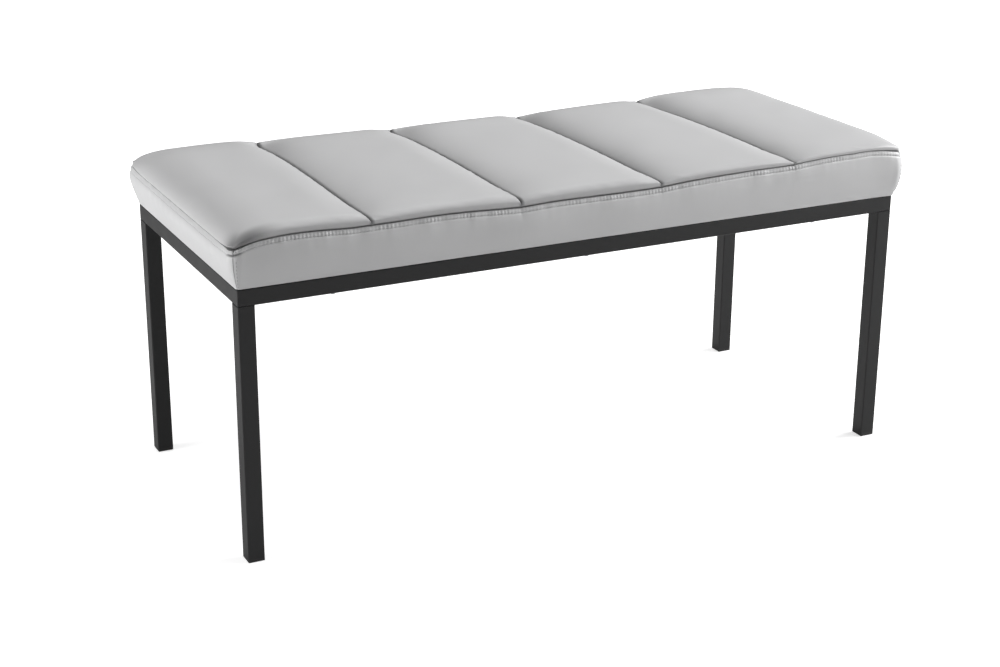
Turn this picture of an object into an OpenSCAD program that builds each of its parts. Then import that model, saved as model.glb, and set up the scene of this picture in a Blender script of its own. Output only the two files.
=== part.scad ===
// Bench with a channelled upholstered seat on a square steel tube frame.
// Origin on the floor under the middle of the bench. X runs along the bench,
// -Y is the front, +Z is up. All sizes are in millimetres.

/* [Steel frame] */
// Length of the steel frame
frame_l = 1085; // [950:5:1500]
// Width of the steel frame, front to back
frame_w = 460; // [360:5:600]
// Height of the rails' top face above the floor
frame_h = 410; // [300:5:600]
// Outside size of the square tube
tube = 25; // [24:1:40]
// Wall of the square tube
wall = 1.2; // [1:0.1:1.5]
// Outside corner radius of the square tube
tube_r = 2; // [1.8:0.1:3]
// Bore in the top wall of each corner that lets the leg bolt in
access_d = 18; // [17:0.5:19]

/* [Leg fixings] */
// Thread diameter of the bolt that holds each leg
leg_bolt_d = 8; // [6:1:8]
// Length of the leg bolt under its head
leg_bolt_l = 20; // [16:1:30]
// Thickness of the plate welded into the top of each leg
nut_plate_t = 4; // [3:0.5:6]
// Height of the hexagon nut welded under that plate
leg_nut_h = 6.5; // [5:0.5:8]

/* [Foot caps] */
// Height of the cap's head under the leg
foot_head = 5.5; // [4:0.5:12]
// Radius round the lower edge of the head
foot_round = 2.5; // [1:0.5:3.5]
// Length of the ribbed plug inside the leg
foot_plug = 16; // [12:1:30]
// Thickness of each rib round the plug
foot_rib_t = 1.2; // [0.8:0.1:1.6]
// How far each rib stands out of the plug
foot_rib_out = 1.5; // [0.8:0.1:2]

/* [Seat board and its fixings] */
// Thickness of the plywood seat board
board_t = 15; // [12:0.5:21]
// Corner radius of the seat board
board_r = 14; // [8:1:20]
// Room round the seat board inside the cover
board_room = 1; // [0.5:0.1:2]
// Thread diameter of the bolts that hold the seat down
seat_bolt_d = 6; // [5:1:6]
// Distance of the outer seat bolts from the ends of the frame
seat_bolt_in = 142.5; // [100:2.5:200]
// Diameter of the tee nut's flange
tee_flange_d = 19; // [17:0.5:22]
// Thickness of the tee nut's flange
tee_flange_t = 1.5; // [1:0.1:2]
// Length of the tee nut's barrel under its flange
tee_barrel_l = 9; // [7:0.5:10]

/* [Cover] */
// Thickness of the cover sheet
cover_t = 1.2; // [0.8:0.1:2]
// Thickness of the dust cover under the seat
dust_t = 0.5; // [0.3:0.1:1]
// How far the dust cover reaches over the rails
dust_lap = 7; // [4:1:10]
// Width of the cover's hem, turned in under the seat board
hem_w = 26; // [20:1:32]
// Width of the top panel at each end of the seat
end_panel_w = 208; // [175:0.5:235]
// How far the seam round the top stands out past the frame
seam_out = 9; // [5:0.5:12]
// How far the bands swell out past that seam
band_swell = 4.5; // [2:0.5:8]
// Corner radius of the seam in plan
corner_r = 14; // [8:1:24]

/* [Seat heights above the rails] */
// Crown of the three middle panels
crown_h = 84.5; // [80:0.5:110]
// Extra height of the two end panels
end_lift = 2; // [0:0.5:4]
// Extra height in the middle of the seat, front to back
belly = 3; // [0:0.5:8]
// Bottom of the channels between the panels
channel_h = 73.5; // [70:0.5:77]
// Seam at the four corners
seam_corner_h = 64; // [60:1:70]
// Seam in the middle of the two ends
seam_end_h = 58; // [54:1:70]
// Front and back seam at the outer two channels
seam_outer_h = 70; // [64:1:74]
// Front and back seam at the inner two channels
seam_inner_h = 66; // [62:1:72]
// How far the seam arcs up over each end panel
bow_end = 8; // [0:0.5:10]
// How far the seam arcs up over each middle panel
bow_middle = 2.5; // [0:0.5:6]
// Distance over which the top slopes down to each end
end_run = 70; // [50:1:90]
// Distance over which the top slopes gently to the front and back
side_run = 70; // [50:1:90]
// Width of the tighter roll along the front and back
side_roll = 20; // [14:1:26]
// Distance over which a panel slopes down into a channel
channel_run = 70; // [40:1:75]
// Depth of the folded seam under each channel
fold_h = 4; // [3:0.5:6]

/* [Foam] */
// Thickness of the foam block on the seat board
foam_block_h = 27; // [20:1:34]
// Room between the cover and the foam
foam_gap = 0.3; // [0.3:0.1:1]
// Room round the foam block inside the cover
foam_room = 1.5; // [1:0.1:3]

/* [Hidden] */
$fn = 48;

steel = [0.1, 0.1, 0.11];
zinc = [0.66, 0.67, 0.69];
black_plastic = [0.06, 0.06, 0.06];
ply = [0.76, 0.62, 0.44];
foam = [0.93, 0.9, 0.76];
leatherette = [0.76, 0.76, 0.77];
felt = [0.15, 0.15, 0.16];

// Room left where one piece slides into another, and past a cut
fit = 0.1;
cut = 2;

// Bolt and washer proportions, from the thread diameter
socket_head_d = 1.6 * leg_bolt_d;
socket_key = 0.87 * leg_bolt_d;
bolt_chamfer = 0.1 * leg_bolt_d;
washer_d = 2 * leg_bolt_d;
washer_t = 1.6;
button_head_d = 1.8 * seat_bolt_d;
button_head_h = 0.55 * seat_bolt_d;
button_key = 0.66 * seat_bolt_d;
button_key_deep = 0.6 * button_head_h;
seat_washer_d = 2.1 * seat_bolt_d;
hole_room = 0.5;
nut_across_flats = 1.6 * leg_bolt_d;
nut_across_corners = nut_across_flats / cos(30);
six_sides = 6;

// Frame places
tube_bore = tube - 2 * wall;
tube_bore_r = tube_r - wall;
corner_x = (frame_l - tube) / 2;
corner_y = (frame_w - tube) / 2;
rail_z = frame_h - tube / 2;
leg_top = frame_h - tube;
leg_l = leg_top - foot_head;
seat_bolt_xs = [seat_bolt_in - frame_l / 2, 0, frame_l / 2 - seat_bolt_in];
seat_bolt_l = tube + board_t;

// Heights of the seat's layers
hem_z = frame_h + dust_t;
board_z = hem_z + cover_t;
foam_z = board_z + board_t;
topper_z = foam_z + foam_block_h;

// Half sizes of the seam round the top, and of what lies inside the cover
seam_a = frame_l / 2 + seam_out;
seam_b = frame_w / 2 + seam_out;
board_in = seam_out + cover_t + board_room;
foam_in = cover_t + foam_gap + foam_room;

// Foot cap details
plug_wall = 2;
plug_r = 1;
rib_count = 3;

// Tee nut details
tee_wall = 1;
tee_barrel_d = seat_bolt_d + 2 * tee_wall;
prong_count = 4;
prong_size = [1, 2.6, 6.5];
prong_edge = 1.2;
prong_ring_r = tee_flange_d / 2 - prong_edge;

// The five panels of the top, between the ends and four channels
panel_count = 5;
pitch = 2 * (seam_a - end_panel_w) / (panel_count - 2);
arc_share = 1 - cos(45);

// Share of the drop to the front and back that the tighter roll takes, where
// the slope at the ends starts on its quarter ellipse, and how flat the seam's
// arcs and how low the bands' swell lie
side_share = 0.3;
end_cut = 0.025;
arc_power = 3.5;
draw_power = 3;
swell_power = 1.6;

// How much faster than the outside a panel's inside draws clear of the rim
inside_rise = 3;

// Facets across each slope of the cover and of the foam under it
end_facets = 5;
channel_facets = 4;
side_facets = 4;
foam_end_facets = 3;
foam_channel_facets = 2;
foam_side_facets = 3;

function panel_low(i) = i == 1 ? -seam_a : end_panel_w - seam_a + (i - 2) * pitch;
function panel_high(i) = i == panel_count ? seam_a : end_panel_w - seam_a + (i - 1) * pitch;
function is_end(i) = i == 1 || i == panel_count;

// Share of a run that lies behind a place at distance d from a seam, and the
// rise there: a quarter ellipse, one without its steep start, and a parabola
function share(d, run) = min(max(d, 0) / run, 1);
function ellipse(u) = sqrt(1 - pow(1 - u, 2));
function cut_ellipse(u) =
    (ellipse(end_cut + (1 - end_cut) * u) - ellipse(end_cut)) / (1 - ellipse(end_cut));
function parabola(u) = 1 - pow(1 - u, 2);

// Height of the seam along the front and back, over panel i at x
function knot(k) = k == 0 || k == panel_count ? seam_corner_h
    : k == 1 || k == panel_count - 1 ? seam_outer_h : seam_inner_h;
function seam_h(i, x) =
    let (s = (x - panel_low(i)) / (panel_high(i) - panel_low(i)),
         bow = is_end(i) ? bow_end : bow_middle)
    knot(i - 1) * (1 - s) + knot(i) * s + bow * (1 - pow(abs(2 * s - 1), arc_power));

// Height along the middle line of the seat, over panel i at x
function end_drop(d) = 1 - cut_ellipse(share(d, end_run));
function channel_drop(d) = 1 - parabola(share(d, channel_run));
function middle_h(i, x) =
    let (top = crown_h + (is_end(i) ? end_lift : 0),
         to_end = top - seam_end_h,
         to_channel = top - channel_h,
         a = x - panel_low(i),
         b = panel_high(i) - x)
    top - (i == 1 ? to_end * end_drop(a) : to_channel * channel_drop(a))
        - (i == panel_count ? to_end * end_drop(b) : to_channel * channel_drop(b));

// Height of the outside of panel i
function side_rise(d) =
    side_share * ellipse(share(d, side_roll)) + (1 - side_share) * ellipse(share(d, side_run));
function top_h(i, x, y) =
    let (r = side_rise(seam_b - abs(y)),
         arch = belly * (1 - pow(y / seam_b, 2)) * ellipse(share(seam_a - abs(x), end_run)))
    seam_h(i, x) * (1 - r) + (middle_h(i, x) + arch) * r;

// Share of the corner zone that a place lies in, 0 outside it and 1 at its edge
function zone(v, half) = max(abs(v) - half + corner_r, 0) / corner_r;

// Plan place with the corners of the seat rounded
function plan(x, y) =
    let (cx = zone(x, seam_a), cy = zone(y, seam_b), k = corner_r * arc_share)
    [x - sign(x) * k * cx * cy * cy, y - sign(y) * k * cy * cx * cx];

// Place near the rim, moved in by inset square to the seam
function rim(x, y, inset) =
    let (cx = zone(x, seam_a), cy = zone(y, seam_b),
         n = [sign(x) * cx * (1 - arc_share * cy * cy), sign(y) * cy * (1 - arc_share * cx * cx)])
    norm(n) == 0 ? [x, y] : plan(x, y) - n / norm(n) * inset;

// Places across a run, closer together where a slope is steep, or even
function steep(run, count) = [for (k = [0:count]) run * (1 - cos(90 * k / count))];
function even(run, count) = [for (k = [0:count]) run * k / count];

// Stations of panel i along X, with the slopes at its ends and channels in facets
function xs(i, for_end, for_channel) =
    let (low = i == 1 ? steep(end_run, for_end) : even(channel_run, for_channel),
         high = i == panel_count ? steep(end_run, for_end) : even(channel_run, for_channel),
         last = len(high) - 1)
    concat([for (d = low) panel_low(i) + d], [for (k = [0:last]) panel_high(i) - high[last - k]]);

// Stations of all the panels together, each as [panel, x]
function stations(for_end, for_channel) =
    [for (i = [1:panel_count], x = xs(i, for_end, for_channel)) if (i == 1 || x > panel_low(i)) [i, x]];

// Stations along Y
function ys(facets) =
    let (side = concat(steep(side_roll, facets), [side_run]), last = len(side) - 1)
    concat([for (d = side) d - seam_b], [0], [for (k = [0:last]) seam_b - side[last - k]]);

// Point of panel i's outside, and of its inside one sheet below
function panel_outer(i, x, y) =
    let (p = plan(x, y))
    [p[0], p[1], frame_h + top_h(i, x, y)];
function clear_of_rim(d, run) = min(1, inside_rise * ellipse(share(d, run)));
function inside_share(x, y) =
    clear_of_rim(seam_a - abs(x), end_run) * clear_of_rim(seam_b - abs(y), side_run);
function at_channel(i, x) = i > 1 && x == panel_low(i) || i < panel_count && x == panel_high(i);
function panel_inner(i, x, y, sheet) =
    let (inside = inside_share(x, y),
         deep = sheet + (at_channel(i, x) ? fold_h - cover_t : 0),
         p = rim(x, y, sheet * (1 - inside)))
    [p[0], p[1], frame_h + top_h(i, x, y) - deep * inside];

// Inset of the band's outside from the seam, at the share t of its height
function band_inset(t) =
    seam_out * pow(1 - t, draw_power) - band_swell * sin(180 * pow(t, swell_power));
band_levels = [0, 0.1, 0.28, 0.5, 0.7, 0.86, 1];

// Column of band points at a place on the rim, from the hem up to the seam
function band_column(x, y, h, hem_at, deep) =
    concat(
        [[hem_at[0], hem_at[1], hem_z + deep]],
        [for (t = band_levels)
            let (p = rim(x, y, band_inset(t) + deep), z = hem_z + t * (frame_h + h - hem_z))
            [p[0], p[1], t == 0 ? z + deep : z]]);

// Hem edge under the board, for a place on the rim
hem_in = seam_out + hem_w;
function hem_edge_long(x, y) = [x * (1 - hem_in / seam_a), sign(y) * (seam_b - hem_in)];
function hem_edge_short(x, y) = [sign(x) * (seam_a - hem_in), y * (1 - hem_in / seam_b)];

// Faces of a sheet: an outer and an inner grid of points joined round their rim
function at(rows, cols, layer, i, j) = (layer * rows + i) * cols + j;
function quad(a, b, c, d) = [[a, b, c], [a, c, d]];
function sheet_faces(rows, cols) =
    let (q = function(l, i, j) at(rows, cols, l, i, j), r = rows - 1, c = cols - 1)
    concat(
        [for (i = [0:r - 1], j = [0:c - 1])
            each quad(q(0, i, j), q(0, i, j + 1), q(0, i + 1, j + 1), q(0, i + 1, j))],
        [for (i = [0:r - 1], j = [0:c - 1])
            each quad(q(1, i, j), q(1, i + 1, j), q(1, i + 1, j + 1), q(1, i, j + 1))],
        [for (i = [0:r - 1])
            each quad(q(0, i, 0), q(0, i + 1, 0), q(1, i + 1, 0), q(1, i, 0))],
        [for (i = [0:r - 1])
            each quad(q(0, i, c), q(1, i, c), q(1, i + 1, c), q(0, i + 1, c))],
        [for (j = [0:c - 1])
            each quad(q(0, 0, j), q(1, 0, j), q(1, 0, j + 1), q(0, 0, j + 1))],
        [for (j = [0:c - 1])
            each quad(q(0, r, j), q(0, r, j + 1), q(1, r, j + 1), q(1, r, j))]);

// Closed sheet between two grids given as lists of rows
module sheet(outer, inner) {
    polyhedron(
        points = concat([for (row = outer) each row], [for (row = inner) each row]),
        faces = sheet_faces(len(outer), len(outer[0])));
}

// Flat outline of a rectangle with rounded corners
module rounded_rect(l, w, r) {
    square([l - 2 * r, w], center = true);
    square([l, w - 2 * r], center = true);
    for (sx = [-1, 1], sy = [-1, 1])
        translate([sx * (l / 2 - r), sy * (w / 2 - r)])
            circle(r);
}

// Section of the square tube
module tube_section() {
    difference() {
        rounded_rect(tube, tube, tube_r);
        rounded_rect(tube_bore, tube_bore, tube_bore_r);
    }
}

// Rail along X with its outer face towards -Y, mitred at both ends, its outer
// corners ground round, and bored for the leg bolts and the seat bolts
module rail(length, bolt_xs) {
    past = 1.5 * tube;
    difference() {
        intersection() {
            rotate([90, 0, 90])
                linear_extrude(length + 2 * cut, center = true)
                    tube_section();
            linear_extrude(2 * tube, center = true)
                polygon([
                    [-length / 2 - past, -tube / 2 - past],
                    [length / 2 + past, -tube / 2 - past],
                    [length / 2 - tube - past, tube / 2 + past],
                    [tube + past - length / 2, tube / 2 + past],
                ]);
            linear_extrude(2 * tube, center = true)
                translate([0, tube])
                    rounded_rect(length, 3 * tube, tube_r);
        }
        for (sx = [-1, 1])
            translate([sx * (length - tube) / 2, 0, 0]) {
                cylinder(h = tube, d = access_d);
                translate([0, 0, -tube])
                    cylinder(h = tube, d = leg_bolt_d + 2 * hole_room);
            }
        for (x = bolt_xs)
            translate([x, 0, 0])
                cylinder(h = 2 * tube, d = seat_bolt_d + 2 * hole_room, center = true);
    }
}

module front_rail() {
    color(steel)
        translate([0, -corner_y, rail_z])
            rail(frame_l, seat_bolt_xs);
}

module back_rail() {
    color(steel)
        translate([0, corner_y, rail_z])
            rotate(180)
                rail(frame_l, seat_bolt_xs);
}

module left_rail() {
    color(steel)
        translate([-corner_x, 0, rail_z])
            rotate(-90)
                rail(frame_w, []);
}

module right_rail() {
    color(steel)
        translate([corner_x, 0, rail_z])
            rotate(90)
                rail(frame_w, []);
}

// Tube welded between the long rails, under the middle of the seat board
module centre_brace() {
    color(steel)
        translate([0, 0, rail_z])
            rotate([90, 0, 0])
                linear_extrude(frame_w - 2 * tube, center = true)
                    tube_section();
}

module leg(sx, sy) {
    color(steel)
        translate([sx * corner_x, sy * corner_y, foot_head])
            linear_extrude(leg_l)
                tube_section();
}

// Plate and hexagon nut welded into the top of a leg
module leg_nut(sx, sy) {
    size = tube_bore - 2 * fit;
    color(zinc)
        translate([sx * corner_x, sy * corner_y, leg_top])
            difference() {
                union() {
                    translate([0, 0, -nut_plate_t])
                        linear_extrude(nut_plate_t)
                            rounded_rect(size, size, tube_bore_r);
                    translate([0, 0, -nut_plate_t - leg_nut_h])
                        cylinder(h = leg_nut_h + fit, d = nut_across_corners, $fn = six_sides);
                }
                translate([0, 0, -nut_plate_t - leg_nut_h - cut])
                    cylinder(h = nut_plate_t + leg_nut_h + 2 * cut, d = leg_bolt_d + 2 * fit);
            }
}

// Places of the four leg bolts, on the lower wall inside each corner
module at_corners() {
    for (sx = [-1, 1], sy = [-1, 1])
        translate([sx * corner_x, sy * corner_y, leg_top + wall])
            children();
}

module leg_bolts() {
    color(zinc)
        at_corners()
            translate([0, 0, washer_t])
                difference() {
                    rotate_extrude()
                        polygon([
                            [0, -leg_bolt_l],
                            [leg_bolt_d / 2 - bolt_chamfer, -leg_bolt_l],
                            [leg_bolt_d / 2, bolt_chamfer - leg_bolt_l],
                            [leg_bolt_d / 2, 0],
                            [socket_head_d / 2, 0],
                            [socket_head_d / 2, leg_bolt_d - bolt_chamfer],
                            [socket_head_d / 2 - bolt_chamfer, leg_bolt_d],
                            [0, leg_bolt_d],
                        ]);
                    translate([0, 0, leg_bolt_d / 2])
                        cylinder(h = leg_bolt_d, d = socket_key, $fn = six_sides);
                }
}

module leg_washers() {
    color(zinc)
        at_corners()
            difference() {
                cylinder(h = washer_t, d = washer_d);
                translate([0, 0, -cut])
                    cylinder(h = washer_t + 2 * cut, d = leg_bolt_d + hole_room);
            }
}

// End cap under a leg: a head with a rounded lower edge and a ribbed hollow plug
module foot_cap(sx, sy) {
    rib_size = tube_bore - 2 * fit;
    plug_size = rib_size - 2 * foot_rib_out;
    color(black_plastic)
        translate([sx * corner_x, sy * corner_y, 0]) {
            intersection() {
                linear_extrude(foot_head)
                    rounded_rect(tube, tube, tube_r);
                for_side_profile();
                rotate(90)
                    for_side_profile();
            }
            difference() {
                union() {
                    translate([0, 0, foot_head - fit])
                        linear_extrude(foot_plug + fit)
                            rounded_rect(plug_size, plug_size, plug_r);
                    for (k = [1:rib_count])
                        translate([0, 0, foot_head + k * foot_plug / (rib_count + 1)])
                            linear_extrude(foot_rib_t)
                                rounded_rect(rib_size, rib_size, tube_bore_r);
                }
                translate([0, 0, foot_head])
                    linear_extrude(foot_plug + cut)
                        square(plug_size - 2 * plug_wall, center = true);
            }
        }
}

// Block as wide as the tube whose lower long edges are rounded
module for_side_profile() {
    rotate([90, 0, 0])
        linear_extrude(2 * tube, center = true)
            translate([0, tube / 2])
                rounded_rect(tube, tube, foot_round);
}

// Places of the six seat bolts, at height z
module at_seat_bolts(z) {
    for (x = seat_bolt_xs, sy = [-1, 1])
        translate([x, sy * corner_y, z])
            children();
}

module tee_prongs(room) {
    for (k = [1:prong_count])
        rotate(90 * k + 45)
            translate([prong_ring_r - prong_size[0], 0, -prong_size[2] / 2])
                cube(prong_size + 2 * room * [1, 1, 1], center = true);
}

// Plywood board under the foam, bored and recessed for the tee nuts
module seat_board() {
    l = 2 * (seam_a - board_in);
    w = 2 * (seam_b - board_in);
    color(ply)
        difference() {
            translate([0, 0, board_z])
                linear_extrude(board_t)
                    rounded_rect(l, w, board_r);
            at_seat_bolts(foam_z) {
                translate([0, 0, -tee_flange_t - fit])
                    cylinder(h = tee_flange_t + cut, d = tee_flange_d + 4 * fit);
                translate([0, 0, -board_t - cut])
                    cylinder(h = board_t + 2 * cut, d = tee_barrel_d + 2 * fit);
                translate([0, 0, -tee_flange_t - fit])
                    tee_prongs(fit);
            }
        }
}

module tee_nuts() {
    color(zinc)
        at_seat_bolts(foam_z - fit)
            difference() {
                union() {
                    translate([0, 0, -tee_flange_t])
                        cylinder(h = tee_flange_t, d = tee_flange_d);
                    translate([0, 0, -tee_flange_t - tee_barrel_l])
                        cylinder(h = tee_barrel_l + fit, d = tee_barrel_d);
                    translate([0, 0, -tee_flange_t + fit])
                        tee_prongs(0);
                }
                translate([0, 0, -tee_flange_t - tee_barrel_l - cut])
                    cylinder(h = tee_flange_t + tee_barrel_l + 2 * cut, d = seat_bolt_d + 2 * fit);
            }
}

// Button-headed bolts, up through the long rails into the tee nuts
module seat_bolts() {
    dome_r = (pow(button_head_d / 2, 2) + pow(button_head_h, 2)) / (2 * button_head_h);
    color(zinc)
        at_seat_bolts(leg_top - washer_t)
            difference() {
                union() {
                    cylinder(h = seat_bolt_l, d = seat_bolt_d);
                    rotate_extrude()
                        intersection() {
                            translate([0, dome_r - button_head_h])
                                circle(dome_r, $fn = 96);
                            translate([0, -button_head_h])
                                square([button_head_d, button_head_h]);
                        }
                }
                translate([0, 0, -button_head_h - cut])
                    cylinder(h = cut + button_key_deep, d = button_key, $fn = six_sides);
            }
}

module seat_washers() {
    color(zinc)
        at_seat_bolts(leg_top - washer_t)
            difference() {
                cylinder(h = washer_t, d = seat_washer_d);
                translate([0, 0, -cut])
                    cylinder(h = washer_t + 2 * cut, d = seat_bolt_d + hole_room);
            }
}

// Dense foam on the board, clear of the bands that draw in beside its foot
module foam_block() {
    band_h = frame_h + seam_outer_h + bow_end - hem_z;
    inset = foam_in + band_inset((foam_z - hem_z) / band_h);
    l = 2 * (seam_a - inset);
    w = 2 * (seam_b - inset);
    color(foam)
        translate([0, 0, foam_z])
            linear_extrude(foam_block_h)
                rounded_rect(l, w, corner_r);
}

// Soft foam sewn behind the cover: channelled on top, flat underneath
module foam_topper() {
    deep = cover_t + foam_gap;
    rows = stations(foam_end_facets, foam_channel_facets);
    y_list = ys(foam_side_facets);
    top = [for (r = rows) [for (y = y_list) panel_inner(r[0], r[1], y, deep)]];
    flat = [for (row = top) [for (p = row) [p[0], p[1], topper_z]]];
    color(foam)
        sheet(top, flat);
}

// One panel of the cover's top, from seam to seam
module panel_sheet(i) {
    x_list = xs(i, end_facets, channel_facets);
    y_list = ys(side_facets);
    sheet(
        [for (x = x_list) [for (y = y_list) panel_outer(i, x, y)]],
        [for (x = x_list) [for (y = y_list) panel_inner(i, x, y, cover_t)]]);
}

// The panels at the left are those at the right turned about
module top_panel(i) {
    color(leatherette)
        if (2 * i > panel_count)
            panel_sheet(i);
        else
            rotate(180)
                panel_sheet(panel_count + 1 - i);
}

// Band along one long side with its hem, pierced for the seat bolts
module long_band() {
    rows = stations(end_facets, channel_facets);
    function column(s, deep) =
        band_column(s[1], -seam_b, seam_h(s[0], s[1]), hem_edge_long(s[1], -seam_b), deep);
    difference() {
        sheet([for (s = rows) column(s, 0)], [for (s = rows) column(s, cover_t)]);
        for (x = seat_bolt_xs)
            translate([x, -corner_y, frame_h])
                cylinder(h = dust_t + cover_t + cut, d = seat_bolt_d + 2 * hole_room, $fn = 24);
    }
}

// Band round one end with its hem
module short_band() {
    function column(y, deep) =
        band_column(seam_a, y, top_h(panel_count, seam_a, y), hem_edge_short(seam_a, y), deep);
    sheet([for (y = ys(side_facets)) column(y, 0)], [for (y = ys(side_facets)) column(y, cover_t)]);
}

module front_band() {
    color(leatherette)
        long_band();
}

module back_band() {
    color(leatherette)
        rotate(180)
            long_band();
}

module right_band() {
    color(leatherette)
        short_band();
}

module left_band() {
    color(leatherette)
        rotate(180)
            short_band();
}

// Thin cloth under the seat, its edges between the hem and the rails
module dust_cover() {
    edge_in = tube - dust_lap;
    color(felt)
        translate([0, 0, frame_h])
            linear_extrude(dust_t)
                square([frame_l - 2 * edge_in, frame_w - 2 * edge_in], center = true);
}

front_rail();
back_rail();
left_rail();
right_rail();
centre_brace();
leg(-1, -1);  // leg_front_left
leg(1, -1);  // leg_front_right
leg(-1, 1);  // leg_back_left
leg(1, 1);  // leg_back_right
leg_nut(-1, -1);  // leg_nut_front_left
leg_nut(1, -1);  // leg_nut_front_right
leg_nut(-1, 1);  // leg_nut_back_left
leg_nut(1, 1);  // leg_nut_back_right
leg_bolts();
leg_washers();
foot_cap(-1, -1);  // foot_cap_front_left
foot_cap(1, -1);  // foot_cap_front_right
foot_cap(-1, 1);  // foot_cap_back_left
foot_cap(1, 1);  // foot_cap_back_right
seat_board();
tee_nuts();
seat_bolts();
seat_washers();
foam_block();
foam_topper();
top_panel(1);  // top_panel_1
top_panel(2);  // top_panel_2
top_panel(3);  // top_panel_3
top_panel(4);  // top_panel_4
top_panel(5);  // top_panel_5
front_band();
back_band();
left_band();
right_band();
dust_cover();
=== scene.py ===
# Bench: a channelled leatherette seat on a frame of square black steel tube
import bpy
import math
import numpy as np
from mathutils import Matrix, Vector


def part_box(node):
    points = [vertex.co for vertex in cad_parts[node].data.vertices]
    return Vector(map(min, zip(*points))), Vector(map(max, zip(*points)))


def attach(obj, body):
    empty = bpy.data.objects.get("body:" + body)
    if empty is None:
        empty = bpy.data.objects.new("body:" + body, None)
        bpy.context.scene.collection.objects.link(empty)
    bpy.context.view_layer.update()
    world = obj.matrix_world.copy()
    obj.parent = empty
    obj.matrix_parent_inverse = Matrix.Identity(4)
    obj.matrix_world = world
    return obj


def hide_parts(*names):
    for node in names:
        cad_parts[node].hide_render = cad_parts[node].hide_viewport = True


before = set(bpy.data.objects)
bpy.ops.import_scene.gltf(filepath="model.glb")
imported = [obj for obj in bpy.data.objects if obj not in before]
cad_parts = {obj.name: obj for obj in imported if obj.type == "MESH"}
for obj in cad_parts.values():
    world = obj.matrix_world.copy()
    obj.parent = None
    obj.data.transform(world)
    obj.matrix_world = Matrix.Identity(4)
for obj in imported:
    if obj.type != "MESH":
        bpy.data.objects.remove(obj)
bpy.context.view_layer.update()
scene = bpy.context.scene
scene.view_settings.view_transform = "Standard"


# Camera: it looks down on the seat from the front left, as the photograph does
print("stage 1: camera")
cameraSettings = {
    "place": (-1.315, -2.584, 1.253),
    "yaw": 26.39,      # turned from +Y towards +X
    "pitch": 20.20,    # downwards
    "roll": 0.36,
    "lens": 69.4,
    "sensor": 36.0,
}


def addCamera(s):
    yaw, pitch, roll = (math.radians(s[k]) for k in ("yaw", "pitch", "roll"))
    ahead = Vector((math.sin(yaw) * math.cos(pitch), math.cos(yaw) * math.cos(pitch), -math.sin(pitch)))
    level = Vector((math.cos(yaw), -math.sin(yaw), 0))
    upward = level.cross(ahead)
    right = level * math.cos(roll) + upward * math.sin(roll)
    top = upward * math.cos(roll) - level * math.sin(roll)
    bpy.ops.object.camera_add()
    camera = bpy.context.object
    camera.name = "photoCamera"
    camera.data.lens = s["lens"]
    camera.data.sensor_width = s["sensor"]
    turn = Matrix((right, top, -ahead)).transposed().to_4x4()
    camera.matrix_world = Matrix.Translation(s["place"]) @ turn
    scene.camera = camera


addCamera(cameraSettings)


# Lights and floor
print("stage 2: light and floor")
lightSettings = [
    # name, place, aimed at, width, height, watts
    ("rightSoftbox", (4.2, -0.5, 3.0), (0.0, 0.0, 0.45), 2.6, 1.9, 272),
    ("frontSoftbox", (2.4, -1.9, 1.6), (0.0, 0.0, 0.45), 1.6, 1.2, 31),
    ("backSoftbox", (0.3, 1.6, 2.2), (0.0, 0.0, 0.45), 2.2, 1.4, 13),
    ("leftCard", (-2.6, 0.2, 0.35), (-0.5, 0.0, 0.40), 1.5, 0.6, 28),
    ("highCard", (-2.2, 0.3, 1.7), (-0.5, 0.0, 0.45), 1.6, 0.8, 17),
]
worldLevel = 0.09
# glow of the floor for the camera: near the bench, far from it, and the distances between which it changes
floorSettings = {"size": 40.0, "colour": 0.8, "near": 0.66, "far": 1.0, "reach": (1.0, 2.4)}


def addLight(name, place, aim, width, height, watts):
    bpy.ops.object.light_add(type="AREA", location=place)
    lamp = bpy.context.object
    lamp.name = name
    lamp.data.shape = "RECTANGLE"
    lamp.data.size = width
    lamp.data.size_y = height
    lamp.data.energy = watts
    lamp.rotation_euler = (Vector(aim) - Vector(place)).to_track_quat("-Z", "Y").to_euler()
    lamp.visible_camera = False


def setInputs(node, values):
    for name, value in values.items():
        node.inputs[name].default_value = value


def makeWorld(level):
    world = bpy.data.worlds.new("studio")
    scene.world = world
    world.use_nodes = True
    nodes, links = world.node_tree.nodes, world.node_tree.links
    nodes.clear()
    out = nodes.new("ShaderNodeOutputWorld")
    mix = nodes.new("ShaderNodeMixShader")
    room = nodes.new("ShaderNodeBackground")
    white = nodes.new("ShaderNodeBackground")
    path = nodes.new("ShaderNodeLightPath")
    setInputs(room, {"Color": (1, 1, 1, 1), "Strength": level})
    setInputs(white, {"Color": (1, 1, 1, 1), "Strength": 1.0})
    links.new(path.outputs["Is Camera Ray"], mix.inputs["Fac"])
    links.new(room.outputs[0], mix.inputs[1])
    links.new(white.outputs[0], mix.inputs[2])
    links.new(mix.outputs[0], out.inputs["Surface"])


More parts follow.
